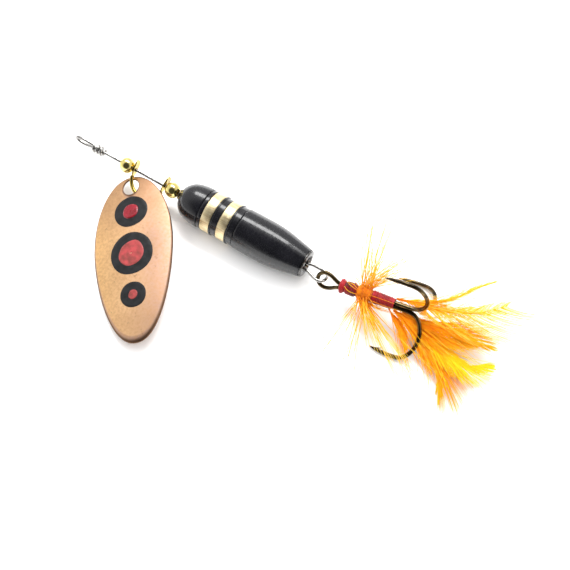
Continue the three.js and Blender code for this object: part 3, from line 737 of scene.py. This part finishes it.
nose = [(0, 1.8), (0.12, 2.3), (0.35, 2.75), (1, 3.5), (2, 4.25), (3.2, 4.75), (4.6, 5.05), (6, 5.2)]
nose = spline([(NOSE_X + x, r) for x, r in nose] + [(NOSE_END - 0.2, 5.22)], 60).tolist()
nose_profile = [(NOSE_X, SEAT_R), *nose, (NOSE_END - 0.06, 5.16), (NOSE_END, 5.05), (NOSE_END, SEAT_R)]
start, end = REAR_RING_END + SEAT_GAP, -RIM - SEAT_GAP
skin = spline([(start + 0.25, BODY_R - 0.02), (-14, BODY_R + 0.02), (-10.5, BODY_R - 0.02), (-8.4, 5.12),
               (-6.2, 4.78), (-4, 4.34), (-2, 3.94), (end, TAIL_R + 0.1)], 70).tolist()
pocket_end, pocket_r = -FERRULE_LENGTH - SEAT_GAP, FERRULE_R + SEAT_GAP
barrel_profile = [(start, SEAT_R), (start, 5.05), (start + 0.08, 5.2), *skin, (end, pocket_r),
                  (pocket_end, pocket_r), (pocket_end, SEAT_R)]
ferrule_profile = [(-FERRULE_LENGTH, TAIL_BORE_R), (-FERRULE_LENGTH, FERRULE_R),
                   (-RIM, FERRULE_R), (-RIM, TAIL_R), (-0.3, TAIL_R + 0.01), (-0.12, TAIL_R - 0.1),
                   (-0.03, TAIL_R - 0.22), (0, TAIL_R - 0.35), (0, TAIL_BORE_R + 0.5), (-0.5, TAIL_BORE_R)]
collar_end = NOSE_X - 2 * SEAT_GAP
core_end = -FERRULE_LENGTH - 2 * SEAT_GAP
tube_profile = [(NOSE_X + 0.1, BORE_R), (NOSE_X + 0.1, CORE_R), (core_end, CORE_R), (core_end, BORE_R)]
body_piece("lacquered_nose", "nose_cone", "black", nose_profile)
body_piece("lacquered_front_ring", "front_ring", "black",
           ring_profile(NOSE_END + SEAT_GAP, FRONT_RING_END, BAND_R - 0.04))
body_piece("turned_front_band", "band_front", "band",
           ring_profile(FRONT_RING_END + SEAT_GAP, BAND_1_END, BAND_R))
body_piece("lacquered_spacer", "band_spacer", "black",
           fin_profile(BAND_1_END + SEAT_GAP, SPACER_END, BAND_R - 0.1))
body_piece("turned_rear_band", "band_rear", "band",
           ring_profile(SPACER_END + SEAT_GAP, BAND_2_END, BAND_R))
body_piece("lacquered_rear_ring", "rear_ring", "black",
           fin_profile(BAND_2_END + SEAT_GAP, REAR_RING_END, BAND_R - 0.06))
body_piece("lacquered_barrel", "barrel", "black", barrel_profile)
body_piece("shade_darkened_tail_rim", "tail_ferrule", "rim", ferrule_profile)
body_piece("dark_nose_collar", "nose_collar", "collar",
           ring_profile(collar_end - COLLAR_THICK, collar_end, COLLAR_R, BORE_R, 0.1))
body_piece("brass_core", "core_tube", "core", tube_profile)

# ---- treble hook ----


def radial(angle, r, x):
    """The point at an angle and a distance from the shank's axis, x along it."""
    return np.array([x, r * math.cos(rad(angle)), r * math.sin(rad(angle))])


def hook_line(angle, front):
    """Stations of one hook, from its point round the bend to a place on the shank."""
    middle, half_gape = (GAPE + STRAND_R) / 2, (GAPE - STRAND_R) / 2
    line = [radial(angle, GAPE + out, SHANK - POINT_LEG * share)
            for out, share in ((-0.5, 1), (-0.25, 0.75), (-0.05, 0.5), (0.03, 0.25))]
    for a in np.radians(np.arange(90, -91, -9)):
        line.append(radial(angle, middle + half_gape * math.sin(a), SHANK + BEND_DEPTH * math.cos(a)))
    return [*line, radial(angle, STRAND_R, (SHANK + front) / 2), radial(angle, STRAND_R, front)]


def taper(line, both=False):
    """The wire's radius along a hook, ground to a point at its start or at both ends."""
    run = run_of(line)
    away = np.minimum(run, run[-1] - run) if both else run
    places = [0, 0.5, POINT_LEG / 4, POINT_LEG / 2, POINT_LEG]
    return np.interp(away, places, [0.03, 0.17, 0.37, 0.49, HOOK_WIRE_R])


def add_barb(shape, angle):
    at, inner = SHANK - POINT_LEG * 0.72, GAPE - 0.55
    line = spline([radial(angle, inner + 0.25, at - 0.6), radial(angle, inner + 0.02, at),
                   radial(angle, inner - 0.3, at + BARB * 0.6), radial(angle, inner - 0.62, at + BARB)], 12)
    shape.tube(line, np.linspace(0.26, 0.03, 12), 10)


first, second, third = HOOK_ANGLES
eye_angle = (first + second) / 2 - 90
middle_of_pair = radial((first + second) / 2, STRAND_R / 2, 0)
strand_half = STRAND_R * math.sqrt(3) / 2
eye_stations = [(2.5, 1.05), (1.3, 1.72), (0, EYE_R), (-1.1, 1.75), (-1.8, 1)]


def strand(station, side):
    x, w = station
    return radial(eye_angle, side * w, x) + middle_of_pair * max(0, x / EYE_END)


def neck(side):
    return radial(eye_angle, side * strand_half, EYE_END) + middle_of_pair


eye_line = [neck(-1), *(strand(q, -1) for q in eye_stations), np.array([-EYE_R, 0, 0]),
            *(strand(q, 1) for q in reversed(eye_stations)), neck(1)]
pair_stations = [*hook_line(first, EYE_END + 1), *eye_line, *reversed(hook_line(second, EYE_END + 1))]
pair_line = spline(pair_stations, 420)
pair = Shape()
pair.tube(pair_line, taper(pair_line, both=True), 16)
add_barb(pair, first)
add_barb(pair, second)
piece("bronzed_double_hook", pair, HOOK, "hook", "hook", ["double_hook"])
single_line = spline(hook_line(third, EYE_END + 1.6), 180)
single = Shape()
single.tube(single_line, taper(single_line), 16)
add_barb(single, third)
piece("bronzed_single_hook", single, HOOK, "hook", "hook", ["single_hook"])

# ---- wound thread ----


FLOSS_PITCH, FLOSS_R, FLOSS_SLACK = 0.33, 0.2, 0.08


def wound(start, end, radii, tone, seed):
    """Close turns of floss over a sleeve, with a little slack in the lay."""
    draw = random.Random(seed)
    shape = Shape()
    stations = np.linspace(start, end, len(radii))
    sleeve = [(x, r - FLOSS_R) for x, r in zip(stations, radii)]
    shape.turned([(start, THREAD_BORE_R), *sleeve, (end, THREAD_BORE_R)], 40, tone=tone)
    count = int((end - start - 2 * FLOSS_R) / FLOSS_PITCH)
    steps = 26
    turn = np.arange(count * steps + 1) / steps
    slack = [draw.uniform(-1, 1) * FLOSS_SLACK for _ in range(count + 2)]
    drift = np.interp(turn, np.arange(count + 2), slack)
    x = start + FLOSS_R + turn * FLOSS_PITCH + drift
    r = np.interp(x, stations, radii) - FLOSS_R * 0.8 + drift * 0.8
    line = np.stack([x, r * np.cos(2 * math.pi * turn), r * np.sin(2 * math.pi * turn)], 1)
    shape.tube(line, FLOSS_R, 8, tone=tone, flat=0.8)
    return shape


# Each winding: name, start, end, radii at even stations, and tone, which paints light and shade: dark on the front
# winding, lighter on the rear and the head.
WINDINGS = (
    ("head", HEAD_FROM, HEAD_TO, (1.5, 1.85, 1.8, 1.6), 0.9),
    ("front", HEAD_TO + SEAT_GAP, FRONT_THREAD_TO, (1.5, 1.62, 1.72, 1.68, 1.55), 0.1),
    ("rear", HACKLE_TO + SEAT_GAP, REAR_THREAD_TO, (1.62, 1.55, 1.5, 1.48, 1.44, 1.38), 0.6),
)
for k, (name, start, end, radii, tone) in enumerate(WINDINGS):
    winding = wound(start, end, radii, tone, 5 + k)
    piece("wound_thread_" + name, winding, HOOK, "hook", "thread", ["thread_" + name], lie=True)

# ---- hackle collar ----
hackle = Shape()
hub_from = FRONT_THREAD_TO + SEAT_GAP
hub = [(hub_from, THREAD_BORE_R), (hub_from, 1.42), (FRONT_THREAD_TO + 1.4, 1.5),
       (HACKLE_TO - 1, 1.48), (HACKLE_TO, 1.42), (HACKLE_TO, THREAD_BORE_R)]
hackle.turned(hub, 40, tone=0.0)
STEM_TURNS = 7.5
stem = np.linspace(0, STEM_TURNS, 260)
for shift, stem_r in ((0.0, 0.24), (0.45, 0.17)):
    x = FRONT_THREAD_TO + 0.5 + stem * (HACKLE_TO - FRONT_THREAD_TO - 0.9) / STEM_TURNS
    r = 1.56 + 0.1 * np.sin(stem * 2.1 + shift)
    a = 2 * math.pi * (stem + shift)
    hackle.tube(np.stack([x, r * np.cos(a), r * np.sin(a)], 1), stem_r, 6, tone=0.12, flat=0.6)

ROOT_TONE = 0.1
# Each bunch: angle round the shank and its spread, lean to the bends and its spread, length, count, and bow
# to the bends.
BUNCHES = (
    (4, 8, -21, 6, 23, 8, 0.0),
    (10, 9, -12, 6, 23.5, 11, 0.02),
    (20, 10, -4, 7, 21, 9, 0.04),
    (14, 6, 16, 6, 16.5, 7, 0.04),
    (18, 5, 36, 5, 18.5, 8, 0.02),
    (32, 20, 42, 14, 11, 20, 0.14),
    (60, 26, 4, 26, 9, 14, 0.06),
    (-18, 12, 0, 16, 9, 7, 0.06),
    (173, 4, -9, 4, 24, 6, -0.02),
    (185, 6, 10, 5, 24, 8, 0.0),
    (165, 26, 16, 18, 14, 13, 0.1),
    (172, 12, 30, 9, 18, 10, 0.1),
    (188, 10, 44, 9, 24, 16, 0.08),
    (194, 8, 57, 6, 26, 10, 0.04),
    (205, 16, 34, 16, 11, 12, 0.1),
    (255, 40, 30, 20, 4.4, 12, 0.2),
)


def fibre(shape, root, direction, bow, length, thick, tip_tone):
    """A thin tapering hair that bows away from its straight direction."""
    t = np.linspace(0, 1, 11)[:, None]
    line = root + direction * length * t + bow * length * t * t
    ramp = ROOT_TONE + (tip_tone - ROOT_TONE) * t[:, 0] ** 0.8
    shape.tube(line, thick * (1.02 - 0.5 * t[:, 0]), 4, tone=np.clip(ramp, 0, 1))


for angle, spread, lean, lean_spread, length, count, bow in BUNCHES:
    for _ in range(count):
        a = angle + dice.gauss(0, spread * 0.6)
        b = rad(lean + dice.gauss(0, lean_spread * 0.6))
        root_x = dice.uniform(FRONT_THREAD_TO + 0.6, HACKLE_TO - 0.6)
        out = radial(a, 1, 0)
        direction = out * math.cos(b) + np.array([math.sin(b), 0, 0])
        sag = np.array([bow + dice.gauss(0, 0.05), dice.gauss(0, 0.05), dice.gauss(0, 0.035) - 0.02])
        size = length * dice.uniform(0.62, 1.05)
        thick = dice.uniform(0.06, 0.09)
        fibre(hackle, radial(a, 1.45, root_x), direction, sag, size, thick, dice.uniform(0.7, 1.1))
# Long strands laid back along the rear wrap, and a few that bend forward over the front wrap.
for k in range(16):
    a = 195 + dice.gauss(0, 28)
    start = radial(a, 1.75, HACKLE_TO - dice.uniform(0.2, 1.6))
    end = radial(a + dice.gauss(0, 12), dice.uniform(1.75, 2.6), REAR_THREAD_TO + dice.uniform(-3.5, 3))
    strand_line = spline([start, (start + end) / 2 + radial(a, 0.35, 0), end], 10)
    strand_tone = np.linspace(0.05, dice.uniform(0.3, 0.7), 10)
    hackle.tube(strand_line, np.linspace(0.09, 0.03, 10), 4, tone=strand_tone)
for k in range(5):
    a = 60 + 20 * k + dice.gauss(0, 6)
    start = radial(a, 1.7, FRONT_THREAD_TO + 0.5)
    high = radial(a - 12, dice.uniform(2.3, 3.2), FRONT_THREAD_TO - dice.uniform(0.6, 1.4))
    end = radial(a - 28, 1.95, FRONT_THREAD_TO - dice.uniform(2, 3.2))
    bent = spline([start, high, end], 12)
    hackle.tube(bent, np.linspace(0.1, 0.05, 12), 4, tone=np.linspace(0.25, 0.6, 12))
piece("hackle_fibres", hackle, HOOK, "hook", "hackle", ["hackle_collar"], lie=True)

# ---- tail feathers ----
QUILL_POINTS, QUILL_R, BARB_FROM, GAP_CHANCE, BARB_SAG = 120, 0.2, 0.08, 0.1, 0.03
UP = np.array((0.0, 0.0, 1.0))


def loose_hair(shape, line, tangent, tone, draw):
    """A long hair that leaves the first half of a quill at a small angle."""
    i = int(draw.uniform(0, 0.55) * (QUILL_POINTS - 1))
    side = draw.choice((-1, 1))
    across = np.cross(UP, tangent[i])
    ahead = line[min(QUILL_POINTS - 1, i + 30)] - line[i]
    ahead /= np.linalg.norm(ahead)
    lean = rad(abs(draw.gauss(0, 13)))
    length, bow, rise = draw.uniform(7, 15), draw.gauss(0, 0.08), draw.gauss(-0.02, 0.04)
    s = np.linspace(0, 1, 10)[:, None]
    sideways = side * across * (math.sin(lean) * s + bow * s * s)
    hair = line[i] + length * (ahead * s + sideways + UP * rise * s)
    shade = np.clip(tone[0] + 0.1 + (tone[1] - tone[0]) * s[:, 0], 0, 1)
    shape.tube(hair, draw.uniform(0.06, 0.1) * (1.05 - 0.6 * s[:, 0]), 4, tone=shade)


def feather(stations, left, right, tone, angle, spacing, thick, loose, seed):
    """A quill with barbs on both sides and loose hairs.

    left and right give the barb length at even stations; tone and angle have a value for root and tip."""
    draw = random.Random(seed)
    shape = Shape()
    line = spline(stations, QUILL_POINTS)
    last = QUILL_POINTS - 1
    quill_tone = np.linspace(-0.1, tone[1] * 0.5, QUILL_POINTS).clip(0, 1)
    shape.tube(line, np.linspace(QUILL_R, 0.05, QUILL_POINTS), 8, tone=quill_tone)
    tangent = np.gradient(line, axis=0)
    tangent /= np.linalg.norm(tangent, axis=1)[:, None]
    count = int(run_of(line)[-1] * (1 - BARB_FROM) / spacing)
    for side, lengths in ((-1, left), (1, right)):
        gap = 0.0
        for k in range(count):
            t = BARB_FROM + (1 - BARB_FROM) * (k + 0.5 * (side > 0)) / count
            i = t * last
            at = np.array([np.interp(i, range(QUILL_POINTS), line[:, j]) for j in range(3)])
            d = tangent[min(last, int(i))]
            across = np.cross(UP, d)
            across /= np.linalg.norm(across)
            up = np.cross(d, across)
            full = np.interp(t, np.linspace(BARB_FROM, 1, len(lengths)), lengths)
            long = full * draw.uniform(0.86, 1.06)
            if draw.random() < GAP_CHANCE:
                gap = draw.uniform(-9, 9)
            gap *= 0.9
            lean = rad(np.interp(t, [BARB_FROM, 1], angle) + gap + draw.gauss(0, 1.6))
            if long < 0.4:
                continue
            s = np.linspace(0, 1, 9)[:, None]
            out = math.sin(lean) * (s - 0.32 * s * s)
            forth = math.cos(lean) * s + 0.1 * s * s
            lift = draw.gauss(0, 0.02) * s + (draw.gauss(0, 0.02) - BARB_SAG) * s * s
            barb = at + long * (forth * d + side * out * across + lift * up)
            shade = tone[0] + (tone[1] - tone[0]) * (0.55 * t + 0.45 * s[:, 0]) + draw.gauss(0, 0.13)
            stout = thick * draw.choice((0.75, 0.9, 1, 1.5))
            shape.tube(barb, stout * (1.05 - 0.7 * s[:, 0]), 4, tone=np.clip(shade, 0, 1), up=up)
    for _ in range(loose):
        loose_hair(shape, line, tangent, tone, draw)
    return shape


FEATHERS = (
    ("wisp_plume", "feather_wisp", "orange", dict(
        stations=[(17.7, 1, 1.2), (24.6, 2.1, 1.6), (29.6, 5.3, 1.1), (34.5, 11.2, 0.4), (37.5, 14.2, 0)],
        left=(5, 4, 3, 3, 1.5), right=(8, 7, 4, 3, 1.5),
        tone=(0.4, 1.0), angle=(22, 12), spacing=0.4, thick=0.06, loose=14)),
    ("upper_plume", "feather_upper", "orange", dict(
        stations=[(17.7, 1.2, 0.5), (24, 1.8, 0.6), (29.7, 2.3, 0.4), (35.9, 5, -0.5), (42.3, 10.2, -1.8)],
        left=(9, 13, 15, 13, 9), right=(5, 5, 4, 4, 3),
        tone=(0.35, 1.15), angle=(36, 42), spacing=0.3, thick=0.075, loose=70)),
    ("long_plume", "feather_long", "orange", dict(
        stations=[(17.7, -0.9, -1.1), (21.5, -1.5, -1.7), (24.8, -1.6, -1.9), (29.4, -1.2, -1.7),
                  (34.4, -0.9, -1.9), (42.4, -1.2, -2.7)],
        left=(7, 8, 8, 5, 1.4), right=(8, 10, 9, 6, 1.5),
        tone=(0.0, 0.85), angle=(26, 12), spacing=0.17, thick=0.07, loose=90)),
    ("pointed_plume", "feather_pointed", "orange", dict(
        stations=[(17.7, -1.2, -1.1), (21, -2, -2.2), (24, -2.9, -2.8), (27.9, -3.6, -2.9),
                  (31.6, -3.3, -2.6), (38.4, -1.9, -2.7)],
        left=(7, 8, 7, 5, 1.4), right=(8, 9, 8, 5, 1.4),
        tone=(0.0, 0.85), angle=(26, 11), spacing=0.17, thick=0.07, loose=90)),
    ("yellow_plume", "feather_yellow", "yellow", dict(
        stations=[(17.7, 0.3, -1.5), (22, -0.8, -2.5), (25.6, -2.1, -3.3), (31.4, -5.4, -3.5),
                  (37, -7.5, -3.8), (44.2, -5.1, -4.4)],
        left=(7, 8, 8, 6.5, 0.8), right=(7, 8, 8, 6.5, 0.8),
        tone=(0.1, 1.0), angle=(24, 22), spacing=0.14, thick=0.075, loose=80)),
    ("curled_plume", "feather_curled", "orange", dict(
        stations=[(17.7, -0.6, -1.9), (22, -1.6, -3.2), (25.4, -4.2, -4), (30, -7.2, -4.4),
                  (32.8, -11, -4.9), (33.8, -14.2, -5)],
        left=(7, 9, 10, 7, 1.5), right=(6, 9, 13, 12, 4),
        tone=(0.05, 0.65), angle=(24, 8), spacing=0.13, thick=0.075, loose=110)),
    ("short_plume", "feather_short", "orange", dict(
        stations=[(16.5, -0.95, -1.4), (19.8, -3.4, -2.8), (22, -5.8, -4), (23.4, -7.8, -4.7)],
        left=(4, 4, 3, 1.6), right=(4, 4, 3, 1.6),
        tone=(0.05, 0.6), angle=(20, 12), spacing=0.13, thick=0.085, loose=14)),
)
for k, (name, node, look, how) in enumerate(FEATHERS):
    piece(name, feather(seed=20 + k, **how), HOOK, "hook", look, [node], lie=True)
